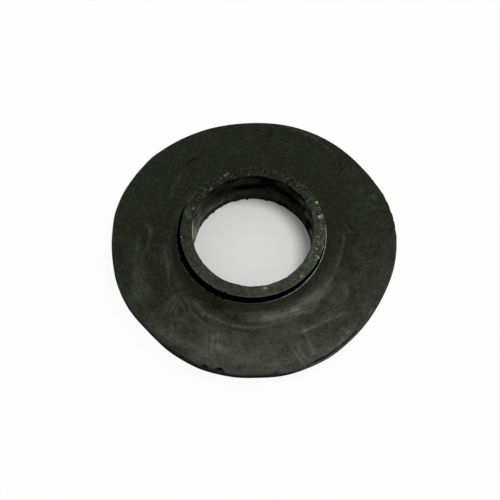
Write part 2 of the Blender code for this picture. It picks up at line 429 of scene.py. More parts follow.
FOOT_SCUFFS = (
    (0.11, 0.62, ((-18.5, -15.3), (-16.2, -17.6), (-14.5, -19.9), (-10.8, -22.2))),
    (0.19, 0.3, ((-14.5, -19.7), (-10.8, -22), (-7.6, -23.7), (-3.6, -24.5), (-0.4, -24.6))),
    (0.14, 0.3, ((-1, -24.7), (0.4, -24.7), (2, -24.5), (5.1, -23.9), (8, -23.2), (10.7, -22.2))),
    (0.09, 0.24, ((-9, -20.2), (-4, -21.7), (3, -21.6))),
    (0.16, 0.42, ((10, -27.2), (13.9, -26.4), (16.7, -25.2), (20.1, -23.7), (24, -22.5))),
    (0.12, 0.26, ((10, -27), (13.9, -26.3), (16.7, -25.1), (20.1, -23.6))),
    (0.08, 0.5, ((17, -24.1), (20.4, -22.7))),
    (0.18, 0.34, (
        (12.6, -24.6), (13.1, -26.5), (13.6, -28.5), (14.4, -30.6), (14.9, -32.5), (15, -34.8),
    )),
    (0.14, 0.8, ((16.2, -35.4), (18.4, -34.1), (21.5, -32.4), (24.1, -30.6))),
    (0.1, 0.5, ((24.6, -29), (26.8, -26.8))),
    (0.23, 0.24, ((9.4, -31.5), (10.5, -33.9), (11.5, -36), (12.7, -37.8))),
    (0.14, 0.24, ((9.2, -31.5), (11.8, -30.1))),
    (0.16, 0.28, ((10.6, -30.5), (11.7, -33.4), (13.2, -35.2), (15.1, -36.4))),
    (0.14, 0.64, ((2, -36.8), (9, -36.2))),
    (0.11, 0.4, ((22.8, -26.9), (24.9, -29.2))),
    (0.11, 0.72, ((14.5, -34.5), (19, -32.4))),
)
RIGHT_SCUFFS = (
    (0.16, 0.4, (
        (25.5, 3.4), (25.3, 0.8), (24.8, -1.7), (24.4, -3.6), (23.7, -5.4), (23.1, -7.3), (22.8, -8.8),
    )),
    (0.12, 1, ((24.6, -13.2), (25.4, -15.4), (25.6, -17.4))),
    (0.08, 1, ((22.1, -14.8), (22.7, -16.8), (22.8, -18.8))),
    (0.08, 0.35, ((25.6, 5.8), (27.5, 2.9))),
    (0.06, 0.9, ((27.6, -2.5), (30.4, -6))),
    (0.05, 1.5, ((25.6, -13), (24.4, -17.6))),
    (0.03, 0.5, ((30.7, -11.8), (30.4, -20.3))),
    (0.08, 0.8, ((31.4, -19.5), (31.6, -24))),
    (0.04, 1.4, ((37.2, -6), (35.6, -11.5))),
    (0.26, 0.5, ((34, 13.9), (34.7, 13.4))),
    (0.14, 0.35, ((22.8, -26.8), (25.2, -29), (26.3, -29.5))),
    (0.15, 0.45, ((23.1, -30.1), (23.9, -31.7))),
    (0.09, 0.4, ((21.7, -31.3), (22.7, -32.7))),
    (0.06, 0.4, ((21.7, -23.9), (23.4, -22.2))),
    (0.06, 0.5, ((29.4, -19.5), (29.9, -22))),
    (0.05, 0.4, ((32.4, 12), (35.7, 8.1))),
)
BACK_SCUFFS = (
    (0.08, 0.5, ((-19.6, 24), (-20.8, 21.9), (-22, 19.3), (-23.2, 16.1))),
    (0.1, 0.4, ((21.6, 31.2), (22.6, 30.8))),
    (0.05, 0.4, ((-27.9, 19.9), (-25.7, 22.2))),
    (0.05, 0.4, ((-30.5, 8.2), (-28.9, 5.9), (-28.9, 3.2))),
    (0.07, 0.72, ((-0.8, 34.8), (1.2, 34.6))),
    (0.09, 0.4, ((11, 37.5), (15.9, 35.6), (20.2, 32.6), (23, 29.8))),
)
# The flare's pale streaks in front are partly a painted highlight, where its sheen would catch the light,
# and partly scuffs
FLARE_SHEEN_AND_SCUFFS = (
    (0.25, 0.65, (
        (-2, -22.3), (1.6, -22.2), (5.2, -21.6), (8.8, -20.7), (13.4, -18.3), (18, -14.3), (21.9, -10),
    )),
    (0.23, 0.75, ((1.5, -22.7), (5, -22.5), (8.8, -21.9), (13.7, -19.8), (18, -16.1), (20.4, -13.5))),
    (0.16, 0.16, ((-4.4, -22.2), (-2, -22.3), (0.4, -22.3))),
    (0.14, 0.16, ((-4.4, -22.8), (-2, -22.9), (0.4, -22.9))),
    (0.26, 0.16, ((1.6, -22.4), (5.1, -21.9), (7.4, -21.4))),
    (0.31, 0.16, ((2, -22.9), (3.6, -22.8), (5.4, -22.3), (7.6, -21.6), (9.6, -20.8), (12, -19.6))),
    (0.24, 0.14, ((-4.4, -21.5), (-1, -21.7), (3.2, -21.6), (6.6, -21))),
    (0.26, 0.16, ((7.4, -21), (9.4, -20.1), (11.3, -19.1), (12.7, -18.4))),
    (0.31, 0.2, ((9.6, -20.8), (11.2, -20.1), (12.7, -19.4))),
    (0.26, 0.28, ((12.7, -21.1), (14.3, -20.6), (16.2, -19.2), (17.6, -17.4))),
    (0.17, 0.18, ((10.8, -19), (13.1, -17.5), (15.6, -16.3), (17.9, -14.4))),
    (0.22, 0.2, ((7.5, -22.1), (9.8, -21.6), (12.2, -20.5))),
    (0.06, 1.2, ((20, -10.4), (21.1, -12), (20.9, -14), (19.5, -15.6))),
)

# Strokes where it is darker
SMUDGES = (
    (0.32, 0.5, ((22.1, -29.4), (21.9, -29.7))),
    (0.22, 0.6, ((22.6, -25.9), (22.4, -26.4))),
    (0.5, 0.5, ((12.8, -28.5), (12.8, -28.1))),
    (0.1, 1.5, ((16.8, -30.1), (16.4, -29))),
    (0.1, 0.8, ((28.1, -20.3), (27.9, -22.8))),
    (0.1, 0.25, ((-2.2, -23.4), (1.5, -24), (3.7, -23.3))),
    (0.14, 1.3, ((-14.5, -17), (-10, -20.2), (-4.4, -22.2), (0, -22.6))),
    (0.12, 0.6, ((13.4, -23.6), (16, -22), (18.6, -20))),
    (0.44, 0.26, ((-7.6, -24.8), (-5.4, -25.4), (-3.2, -25.8), (-1.8, -26), (0.8, -26.1))),
    (0.2, 0.9, ((-8.6, -37.2), (-6, -37.9), (-3, -38.4), (0, -38.6))),
    (0.12, 0.9, ((7.4, -37.6), (10.4, -36.9))),
    (0.16, 1.7, ((-37, 1), (-36.9, -5.2), (-36.4, -9.8), (-34.8, -14.8))),
    (0.14, 1.5, ((-26.7, -11), (-26.2, -15.5))),
    (0.16, 1.6, ((21.6, -27.7), (24.4, -25.6), (26, -22.6))),
    (0.1, 1.5, ((18.3, -29), (18.6, -30))),
    (0.1, 0.26, ((-31.2, -3), (-29.6, -3.9), (-29.7, -5), (-30.9, -6.4))),
    (0.14, 0.7, ((13.8, -23.9), (14.9, -22.8))),
    (0.3, 0.45, ((-17.8, -18), (-15.8, -21), (-14.1, -21.9), (-12.5, -22.2))),
    (0.18, 0.4, ((-9.8, -22.9), (-6.7, -24.7), (-4.1, -25.6))),
    (0.22, 0.4, ((-7.4, -22.4), (-3.1, -23.4), (0.4, -23.9), (4, -23.8))),
    (0.6, 0.5, ((-18.6, 26), (-17.6, 27), (-16.4, 28), (-14.8, 28.6))),
    (0.34, 1.2, ((6.3, 37.2), (5.9, 34.6))),
    (0.22, 0.4, ((5.4, 33.6), (3.1, 30))),
    (0.24, 0.9, ((25.9, 27.6), (25.6, 26), (25.2, 23.2))),
    (0.14, 0.4, ((-29.5, -2.3), (-30.8, -6.9))),
    (0.14, 1.6, ((-26.4, -12), (-26.2, -13.6))),
    (0.2, 0.8, ((-21.2, -18.4), (-20.8, -19.6))),
    (0.16, 0.6, ((-22.9, -20.2), (-22.3, -20.8))),
    (0.2, 1.6, ((-20.2, -26), (-19.3, -27.2))),
    (0.18, 1.1, ((-16.9, -25), (-16.5, -26))),
    (0.4, 0.9, ((-24, -30.4), (-21.2, -32.3), (-17.8, -34.2))),
    (0.26, 1.2, ((26.6, -13.9), (27.3, -18), (27.9, -23.2))),
    (0.18, 1.1, ((24.6, -6.2), (25, -7.4))),
    (0.16, 2.4, ((32.4, -8), (31.6, -13), (31, -17.6))),
    (0.05, 2.4, ((-27.5, -14.5), (-25.5, -18), (-22, -22.5))),
    (0.18, 0.45, ((27.3, 5.8), (29.7, 1))),
    (0.26, 0.55, ((12.7, -27.9), (12.9, -28.9))),
    (0.16, 0.9, ((16.8, -28.2), (16.8, -29.2))),
    (0.14, 0.9, ((8.4, -30.2), (8.4, -31.8))),
    (0.16, 0.4, ((-1.9, -29.4), (-1.5, -29.4))),
    (0.16, 0.4, ((3.2, -28.4), (3.6, -28.4))),
    (0.24, 0.35, ((13, -37.6), (16.9, -36.1))),
)

# Flakes of rubber and dust on the collar's face and lip
FLAKES = (
    (0.6, 0.34, ((17.9, 8.3), (18.1, 7.8))),
    (0.3, 0.32, ((18.1, 3.3), (19.4, 4.2))),
    (0.22, 0.3, ((18.1, 3.3), (19.6, 3.2))),
    (0.2, 0.28, ((19.4, 4.1), (19.7, 3.3))),
    (0.75, 0.22, ((19.2, -5.8), (19.4, -5.6))),
    (0.45, 0.28, ((-19.9, -1.3), (-19.9, -1))),
    (0.9, 0.2, ((-7.4, 17.4), (-7.1, 17.5))),
    (0.1, 0.16, ((-13.8, 12.5), (-12.2, 13.7))),
    (0.16, 0.16, ((-11.4, 13.2), (-10.9, 13.7))),
    (0.09, 0.16, ((-17.1, 10.4), (-15.9, 12.1))),
    (0.22, 0.18, ((-17.4, 9.7), (-17.2, 9.9))),
    (0.25, 0.3, ((-7, 17.8), (-6.4, 18.2))),
    (0.75, 0.2, ((-0.7, 17.6), (-0.5, 17.6))),
    (0.5, 0.2, ((-16.5, 7.5), (-16.2, 7.7))),
    (0.1, 0.55, ((-17.2, 4.3), (-18, 6), (-18.4, 7.4))),
    (0.3, 0.24, ((2, -17.6), (3, -17.4))),
    (0.6, 0.24, ((2.8, -17.5), (3.1, -17.4))),
    (0.8, 0.24, ((19.2, -6.5), (19.3, -6.3))),
    (0.75, 0.28, ((17.6, -9), (17.8, -8.8))),
    (0.6, 0.24, ((17.1, -8.5), (17.2, -8.3))),
    (0.75, 0.26, ((17.3, -6.4), (17.5, -6.2))),
    (0.5, 0.22, ((17.8, -2.6), (18, -2.4))),
    (0.5, 0.22, ((18.8, -0.2), (19, 0))),
    (0.3, 0.2, ((12.5, -14.8), (13.1, -14.2))),
)


def length(name, description, millimetres):
    """A length that the panel shows, given in millimetres."""
    return bpy.props.FloatProperty(
        name=name, description=description, default=millimetres * MM, precision=5, unit="LENGTH"
    )


def turn(name, description, degrees):
    """An angle that the panel shows, given in degrees."""
    return bpy.props.FloatProperty(
        name=name, description=description, default=math.radians(degrees), subtype="ANGLE"
    )


def share(name, description, value):
    """A plain number from 0 to 1 that the panel shows."""
    return bpy.props.FloatProperty(name=name, description=description, default=value, min=0.0, max=1.0)


def colour(name, description, value):
    """A colour that the panel shows."""
    return bpy.props.FloatVectorProperty(
        name=name, description=description, default=value, size=3, min=0.0, max=1.0, subtype="COLOR"
    )


class GasketSizes(bpy.types.PropertyGroup):
    """The moulding's section, with the sizes of the solid that it stands for."""

    bore_radius: length("Bore radius", "Radius of the bore where it opens at the collar's top", 17.0)
    neck_wall: length("Neck wall", "Wall between the bore and the groove", 1.7)
    lip_overhang: length("Lip overhang", "How far the collar's worn lip stands out over the groove", 1.4)
    groove_gap: length("Groove gap", "Gap in plan between the lip and the hub's edge", 0.8)
    hub_flare: length("Hub flare", "How far the hub spreads on its way down to the flange", 4.1)
    rim_radius: length("Rim radius", "Radius of the rim, from the packed model", RIM_RADIUS / MM)
    height: length("Height", "Height of the collar's top, from the packed model", FULL_HEIGHT / MM)
    foot_thickness: length("Foot thickness", "Thickness of the flange at the foot of the hub", 3.1)
    rim_thickness: length("Rim thickness", "Thickness of the flange at its rim", 2.6)
    collar_rise: length("Collar rise", "Height of the collar's top over the hub's edge", 2.6)
    lip_depth: length("Lip depth", "Height of the lip's slanting underside", 1.6)
    groove_depth: length("Groove depth", "Depth of the groove below the hub's edge", 1.9)
    groove_lean: length("Groove lean", "How far the groove's outer wall leans in to its floor", 0.5)
    groove_round: length("Groove round", "Height of the groove's round floor", 0.6)
    bore_taper: length("Bore taper", "How much narrower the bore's radius is at the seat", 0.1)
    lower_land: length("Lower land", "Height of the tapered land at the bottom of the bore", 7.0)
    upper_land: length("Upper land", "Height of the thin land at the top of the bore", 0.5)
    recess_depth: length("Recess depth", "Depth of the recess between the bore's two lands", 0.25)
    recess_slope: length("Recess slope", "Height of the slope from the lower land into the recess", 0.4)
    edge_break: length("Edge break", "Rounding of the bore's edges", 0.12)
    hub_land: length("Hub land", "Width of the flat top of the hub's edge", 0.18)
    rim_round: length("Rim round", "Rounding of the rim's corners", 0.35)


class GasketSet(bpy.types.PropertyGroup):
    """How the rubber has set out of true, as the solid has."""

    dish: length("Dish", "Mean lift of the rim", 3.8)
    dish_curve: bpy.props.FloatProperty(
        name="Dish curve", description="Power of the lift from the hub out to the rim", default=1.6
    )
    tilt: length("Tilt", "Height of the one-crest wave round the rim", 1.8)
    tilt_crest: turn("Tilt crest", "Direction of that wave's crest", 254)
    saddle: length("Saddle", "Height of the two-crest wave round the rim", 1.95)
    saddle_crest: turn("Saddle crest", "Direction of one of its crests", -13)
    three_wave: length("Three wave", "Height of the three-crest wave round the rim", 0.75)
    three_wave_crest: turn("Three wave crest", "Direction of one of its crests", -30)
    four_wave: length("Four wave", "Height of the four-crest wave round the rim", 0.55)
    four_wave_crest: turn("Four wave crest", "Direction of one of its crests", -24)
    hub_shift: length("Hub shift", "How far the hub lies along X from the middle of the flange", -0.3)
    hub_lean: length("Hub lean", "How far the hub's edge leans along X", -0.25)
    collar_lean: length("Collar lean", "How far the collar's top leans along X", 0.3)
    bore_oval: length("Bore oval", "How much narrower the bore's radius is along X", 0.28)


class GasketFinish(bpy.types.PropertyGroup):
    """Colours and surface of the rubber."""

    rubber: colour("Rubber", "Clean black rubber, where it looks warm", (0.0108, 0.0114, 0.0074))
    cool_rubber: colour("Cool rubber", "Clean black rubber, where it looks green", (0.0090, 0.0116, 0.0063))
    bloom: colour("Bloom", "Pale bloom and scuffs, where they look warm", (0.135, 0.133, 0.106))
    cool_bloom: colour("Cool bloom", "Pale bloom and scuffs, where they look green", (0.124, 0.133, 0.109))
    powder: colour("Powder", "Powdery crumbs and flakes", (0.33, 0.36, 0.28))
    # Painted shade mixes the rubber towards this colour: in the groove, the bore, the rim's side and the
    # nicks, as well as in darker marks
    shade: colour("Shade", "Rubber where no light or dust gets in", (0.0006, 0.0009, 0.0004))
    roughness: share("Roughness", "Roughness of clean rubber", 0.72)
    gloss: share("Gloss", "How strongly the rubber reflects", 0.008)
    bump: share("Bump", "Strength of the rubber's fine grain", 0.35)
    bump_height: length("Bump height", "Height of the rubber's fine grain", 0.14)


class StudioSettings(bpy.types.PropertyGroup):
    """The camera's place, the floor and the light."""

    elevation: turn("Elevation", "How far the camera looks down", 64.5)
    roll: turn("Roll", "How far the camera is turned about its own axis", -2.1)
    distance: length("Distance", "Distance from the camera to the gasket", 600.0)
    aside: length("Aside", "How far the gasket lies right of the picture's middle", 1.04)
    below: length("Below", "How far the gasket lies below the picture's middle", 0.48)
    picture_width: length("Picture width", "Width of the picture at the gasket", 141.0)
    floor: colour("Floor", "Colour of the floor", (0.66, 0.66, 0.655))
    floor_white: share("Floor white", "How much of the open floor is plain white to the camera", 0.94)
    floor_size: length("Floor size", "Side of the square floor", 6000.0)
    floor_drop: length("Floor drop", "Gap between the floor and the seat", 0.05)
    grey_radius: length("Grey radius", "Radius of the plain grey floor under the bore", 21.0)
    key_power: bpy.props.FloatProperty(
        name="Key power", description="Power of the main light", default=5.6, unit="POWER"
    )
    key_size: length("Key size", "Side of the square main light", 270.0)
    key_place: bpy.props.FloatVectorProperty(
        name="Key place", description="Where the main light is", default=(0.25, 0.045, 0.88), unit="LENGTH"
    )
    ambient: share("Ambient", "Strength of the light from all round", 0.63)


def arc(centre, width, height, start, end, points):
    """Points of an ellipse's arc: the centre plus width times cosine and height times sine."""
    angle = np.radians(np.linspace(start, end, points))
    return np.column_stack((centre[0] + width * np.cos(angle), centre[1] + height * np.sin(angle)))


def straight(start, end, points):
    """Evenly spaced points of a straight line, both ends included."""
    part = np.linspace(0, 1, points)[:, None]
    return np.asarray(start) + (np.asarray(end) - np.asarray(start)) * part


def part_way(low, high, value):
    """How far a value has come from low to high, kept between 0 and 1."""
    return np.clip((value - low) / (high - low), 0, 1)


def ease(part):
    """A smooth S from 0 to 1: three times the square less twice the cube."""
    return part * part * (3 - 2 * part)


def ramp(low, high, value):
    """0 before low, 1 past high, and a smooth S between them."""
    return ease(part_way(low, high, value))


def come_out(name, value):
    """How far a kind of mark has come out at a value of its wander or cloud."""
    return ramp(*LEVELS[name], value)


def zone(name, value, edge=0.0):
    """How far into a zone of the faults a length is, counted from an edge of the section."""
    start, full = EDGE_ZONES[name]
    return ramp(edge + start * MM, edge + full * MM, value)


def hump(offset, width):
    """1 where the offset is zero, falling away as a bell whose half width is given."""
    return np.exp(-((offset / width) ** 2))


def away(angle, centre):
    """Signed angle from the centre, given in degrees, wrapped to half a turn each way, in radians."""
    return (angle - math.radians(centre) + math.pi) % math.tau - math.pi


def bell(angle, centre, spread):
    """A bell round the ring: 1 at its centre, falling away over its half width, both in degrees."""
    return hump(away(angle, centre), math.radians(spread))


def bells(angle, marks):
    """The sum of the bells of a list, each at its own strength."""
    return sum(strength * bell(angle, *place) for strength, *place in marks)


def plateaus(angle, marks):
    """The sum of the bells of a list, each cut flat at its top and its foot by a smooth S."""
    return sum(strength * ramp(*PLATEAU_SIDES, bell(angle, *place)) for strength, *place in marks)


def wander(angle, name):
    """A wandering line: random values at even angles round the ring, joined by S curves."""
    mean, strength, cells, seed = WANDERS[name]
    values = np.random.default_rng(seed).uniform(-1, 1, cells)
    place = angle / math.tau % 1.0 * cells
    first = np.floor(place).astype(int)
    part = ease(place - first)
    return mean + strength * (values[first % cells] * (1 - part) + values[(first + 1) % cells] * part)


def cloud(angle, across, name):
    """A cloud: random values on a lattice round the ring and across it, joined by S curves."""
    mean, strength, cells, rows, seed = CLOUDS[name]
    values = np.random.default_rng(seed).uniform(-1, 1, (rows + 1, cells))
    turned = angle / math.tau % 1.0 * cells
    moved = np.clip(across, 0, CLOUD_PART) * rows
    column, row = np.floor(turned).astype(int), np.floor(moved).astype(int)
    u, v = ease(turned - column), ease(moved - row)
    before, after = column % cells, (column + 1) % cells
    low = values[row, before] * (1 - u) + values[row, after] * u
    high = values[row + 1, before] * (1 - u) + values[row + 1, after] * u
    return mean + strength * (low * (1 - v) + high * v)


def smooth_path(points):
    """A curve through the points: in each span a cubic, which leaves its ends as their neighbours lie."""
    given = np.asarray(points, float)
    first, last = 2 * given[0] - given[1], 2 * given[-1] - given[-2]
    run = np.vstack((first, given, last))
    before, start, end, after = run[:-3], run[1:-2], run[2:-1], run[3:]
    part = np.linspace(0, 1, STROKE_STEPS + 1)[:-1, None, None]
    bend = 2 * before - 5 * start + 4 * end - after
    curl = 3 * start - before - 3 * end + after
    spans = start + 0.5 * ((end - before) * part + bend * part**2 + curl * part**3)
    return np.vstack((spans.swapaxes(0, 1).reshape(-1, 2), given[-1]))


class Section:
    """The half section: a closed run of points, clockwise from the bore's top edge, in named stretches."""

    def __init__(self, sizes):
        self.bore = sizes.bore_radius
        self.neck = self.bore + sizes.neck_wall
        self.lip = self.neck + sizes.lip_overhang
        self.hub = self.lip + sizes.groove_gap
        self.foot = self.hub + sizes.hub_flare
        self.rim = sizes.rim_radius
        self.top = sizes.height
        self.thick = sizes.foot_thickness
        self.hub_height = self.top - sizes.collar_rise
        self.floor = self.hub_height - sizes.groove_depth
        self.stretches = []
        self.points = []
        self.add_collar(sizes)
        self.add_flange(sizes)
        self.add_bore(sizes)
        self.radius, self.height = np.vstack(self.points).T

    def add(self, name, points):
        """Append a stretch of points under its name."""
        self.points.append(points)
        self.stretches += [name] * len(points)

    def on(self, *names):
        """True for the points of the named stretches, as a column."""
        return np.isin(self.stretches, names)[:, None]

    def add_collar(self, sizes):
        """Flat face, sharp lip, slanting undercut, neck, round groove floor and the groove's outer wall."""
        inner, outer = self.bore + sizes.edge_break, self.lip - LIP_ROUND
        self.add("face", straight((inner, self.top), (outer, self.top), FACE_POINTS))
        self.add("lip", arc((outer, self.top - LIP_ROUND), LIP_ROUND, LIP_ROUND, 70, -40, LIP_POINTS))
        corner, neck = (outer, self.top - 2 * LIP_ROUND), (self.neck, self.top - sizes.lip_depth)
        self.add("undercut", straight(corner, neck, UNDERCUT_POINTS + 1)[1:])
        wall, low = self.hub - sizes.groove_lean, self.floor + sizes.groove_round
        middle, half = (self.neck + wall) / 2, (wall - self.neck) / 2
        self.add("groove", arc((middle, low), half, sizes.groove_round, 180, 360, FLOOR_POINTS))
        edge = (self.hub - sizes.hub_land, self.hub_height)
        self.add("groove", straight((wall, low), edge, GROOVE_WALL_POINTS + 1)[1:-1])

    def add_flange(self, sizes):
        """The hub's thin edge and hollow flare, then the flange's top, rounded rim, underside and seat."""
        level, edge = self.hub_height, self.hub - HUB_ROUND
        self.add("hub_edge", straight((self.hub - sizes.hub_land, level), (edge, level), HUB_LAND_POINTS))
        self.add("hub_edge", arc((edge, level - HUB_ROUND), HUB_ROUND, HUB_ROUND, 60, 10, HUB_ROUND_POINTS))
        flare = arc((self.foot, level), sizes.hub_flare, level - self.thick, 180, 270, FLARE_POINTS)
        self.add("flare", flare[1:])
        rounding, thickness = sizes.rim_round, sizes.rim_thickness
        inner, shoulder = self.rim - rounding, thickness - rounding
        self.add("flange", straight(flare[-1], (inner, thickness), FLANGE_POINTS + 1)[1:-1])
        self.add("rim", arc((inner, shoulder), rounding, rounding, 90, 0, CORNER_POINTS))
        self.add("rim", straight((self.rim, shoulder), (self.rim, rounding), RIM_POINTS + 1)[1:-1])
        self.add("rim", arc((inner, rounding), rounding, rounding, 0, -90, CORNER_POINTS))
        self.add("underside", straight((inner, 0.0), (self.hub, 0.0), UNDERSIDE_POINTS + 1)[1:])
        seat = self.bore - sizes.bore_taper + sizes.edge_break
        self.add("seat", straight((self.hub, 0.0), (seat, 0.0), SEAT_POINTS + 1)[1:])

    def add_bore(self, sizes):
        """The bore's lower edge, its tapered land, the recess over it and the thin land under the face."""
        narrow, edge = self.bore - sizes.bore_taper, sizes.edge_break
        self.add("bore_foot", arc((narrow + edge, edge), edge, edge, 250, 190, BORE_FOOT_POINTS))
        self.add("land", straight((narrow, edge), (self.bore, sizes.lower_land), LAND_POINTS))
        deep, land = self.bore + sizes.recess_depth, self.top - sizes.upper_land
        bottom, top = sizes.lower_land + sizes.recess_slope, land - sizes.recess_depth
        self.add("recess", straight((deep, bottom), (deep, top), RECESS_POINTS))
        self.add("bore_head", straight((self.bore, land), (self.bore, self.top - edge), UPPER_LAND_POINTS))
        rounding = arc((self.bore + edge, self.top - edge), edge, edge, 150, 120, BORE_ROUND_POINTS)
        self.add("bore_head", rounding)


class Relief:
    """The moulding as arrays over the section and the turn, with the real one's small faults worked in."""

    def __init__(self, section, angle):
        self.section = section
        self.angle = angle[None, :]
        shape = (len(section.radius), len(angle))
        self.plain_radius = np.broadcast_to(section.radius[:, None], shape)
        self.plain_height = np.broadcast_to(section.height[:, None], shape)
        self.radius = self.plain_radius.copy()
        self.height = self.plain_height.copy()
        self.outwards = part_way(section.hub, section.rim, self.plain_radius)

    def nick(self, centre, width):
        """A bell round the ring, 1 at an angle in degrees, with its half width in millimetres."""
        return hump(away(self.angle, centre) * self.plain_radius, width * MM)

    def bites(self, nicks):
        """The depths of all the nicks of a list together."""
        return sum(depth * self.nick(centre, width) for depth, centre, width in nicks) * MM

    def rim_faults(self):
        """Flats round the rim, a slight wander, ragged flash at the back right, and nicks in front."""
        section, angle, rim = self.section, self.angle, self.section.on("rim")
        outer = zone("rim_flats", self.plain_radius, section.rim)
        self.radius -= outer * bells(angle, RIM_FLATS) * MM
        self.radius -= rim * (RIM_SETBACK + wander(angle, "rim_swell")) * MM
        upper = rim * zone("ragged_rim", self.plain_height)
        fine = wander(angle, "rim_grain") + wander(angle, "rim_ripple")
        worn = plateaus(angle, RIM_RAGGED) * come_out("ragged_rim", fine) + plateaus(angle, RIM_WORN)
        self.radius -= upper * worn * MM
        bite = self.bites(RIM_NICKS) * self.near_rim()
        self.radius -= bite
        self.height -= bite * RIM_NICK_DROP

    def near_rim(self):
        """1 on the upper part of the rim, and 0 on its lower part and from 1.5 mm in from it."""
        section = self.section
        across = zone("near_rim", self.plain_radius, section.rim)
        return across * section.on("flange", "rim") * zone("upper_rim", self.plain_height)

    def hub_edge_faults(self):
        """Thin flash that stands up on the hub's edge at the right, and nicks in that edge and the lip."""
        section, angle = self.section, self.angle
        edge = section.on("hub_edge") * 1.0
        below = section.on("flare") * zone("under_hub_edge", self.plain_height, section.hub_height)
        self.height += edge * plateaus(angle, HUB_FLASH) * wander(angle, "hub_flash") * MM
        bite = self.bites(HUB_NICKS) * np.maximum(edge, below)
        self.height -= bite
        self.radius += bite * HUB_NICK_SPREAD
        lip = section.on("lip", "face") * zone("lip", self.plain_radius, section.lip)
        self.radius += (lip * plateaus(angle, LIP_FULLNESS) + edge * plateaus(angle, HUB_FULLNESS)) * MM
        self.radius -= lip * self.bites(LIP_NICKS)

    def bore_faults(self):
        """A full, ragged lower edge to the bore with tags of flash, and its uneven wall with one pit."""
        section, angle = self.section, self.angle
        foot = section.on("bore_foot", "land", "seat") * zone("bore_foot", self.plain_height)
        foot = foot * zone("round_bore_foot", self.plain_radius, section.bore)
        full = plateaus(angle, BORE_FOOT_FULLNESS) + wander(angle, "bore_foot")
        self.radius -= foot * (self.bites(BORE_TAGS) + full * MM)
        wall = section.on("land", "recess", "bore_head")
        up = self.plain_height / section.top
        rough = cloud(angle, up, "wall_swell") + cloud(angle, up, "wall_grain")
        self.radius += (wall * (WALL_SETBACK + rough) + self.pit() * PIT_DEPTH) * MM

    def pit(self):
        """1 in the middle of the pit in the bore's wall, falling away as a bell both ways."""
        tall = hump(self.plain_height - PIT_HEIGHT * MM, PIT_HALF_HEIGHT * MM)
        return self.nick(PIT_ANGLE, PIT_HALF_WIDTH) * tall * self.section.on("land", "recess")

    def face_faults(self):
        """Crumbled rubber on the collar's face, worst at the back right, and the bore's upper edge."""
        section, angle = self.section, self.angle
        across = part_way(section.bore, section.lip, self.plain_radius)
        pitted = come_out("face_pits", cloud(angle, across, "face_pits"))
        self.height -= section.on("face") * plateaus(angle, FACE_PITS) * pitted * MM
        top = zone("under_face", self.plain_height, section.top)
        edge = top * zone("round_bore", self.plain_radius, section.bore)
        bitten = plateaus(angle, BORE_BITES) * wander(angle, "bore_edge")
        self.radius += edge * (bitten - plateaus(angle, BORE_FULLNESS)) * MM

    def flange_faults(self):
        """A slight unevenness of the flange, the same on both sides, and the mould's step at its foot."""
        section, angle = self.section, self.angle
        out = ramp(section.foot, section.rim, self.plain_radius)
        uneven = out * cloud(angle, self.outwards, "flange_swell")
        self.height += section.on("flange", "rim", "underside") * uneven * MM
        line = hump(self.plain_radius - section.foot - FOOT_STEP_OUT * MM, FOOT_STEP_WIDTH * MM)
        self.height -= section.on("flange", "flare") * line * plateaus(angle, FOOT_STEP) * MM

    def sideways(self, held):
        """How far each point moves along X: the hub's shift, less outwards, two leans and the oval."""
        section = self.section
        inwards = part_way(section.lip, section.bore, self.plain_radius)
        up_collar = part_way(section.floor, section.top, self.plain_height)
        up_hub = part_way(section.thick, section.hub_height, self.plain_height)
        collar = ~section.on("groove", "hub_edge", "flare", "flange", "rim", "underside")
        collar = collar | section.on("groove") & (self.plain_radius <= section.neck)
        leaning = np.where(collar, held.collar_lean * up_collar, held.hub_lean * up_hub)
        oval = held.bore_oval * inwards * np.cos(self.angle)
        return held.hub_shift * (1 - self.outwards) + leaning - oval

    def set_out_of_true(self, held):
        """Coordinates, moved sideways and lifted more and more outwards: a dish plus four cosine waves."""
        waves = (
            (1, held.tilt, held.tilt_crest),
            (2, held.saddle, held.saddle_crest),
            (3, held.three_wave, held.three_wave_crest),
            (4, held.four_wave, held.four_wave_crest),
        )
        lift = held.dish
        for crests, tall, crest in waves:
            lift = lift + tall * np.cos(crests * (self.angle - crest))
        x = self.radius * np.cos(self.angle) + self.sideways(held)
        y = self.radius * np.sin(self.angle)
        z = self.height + lift * self.outwards**held.dish_curve
        return x, y, z


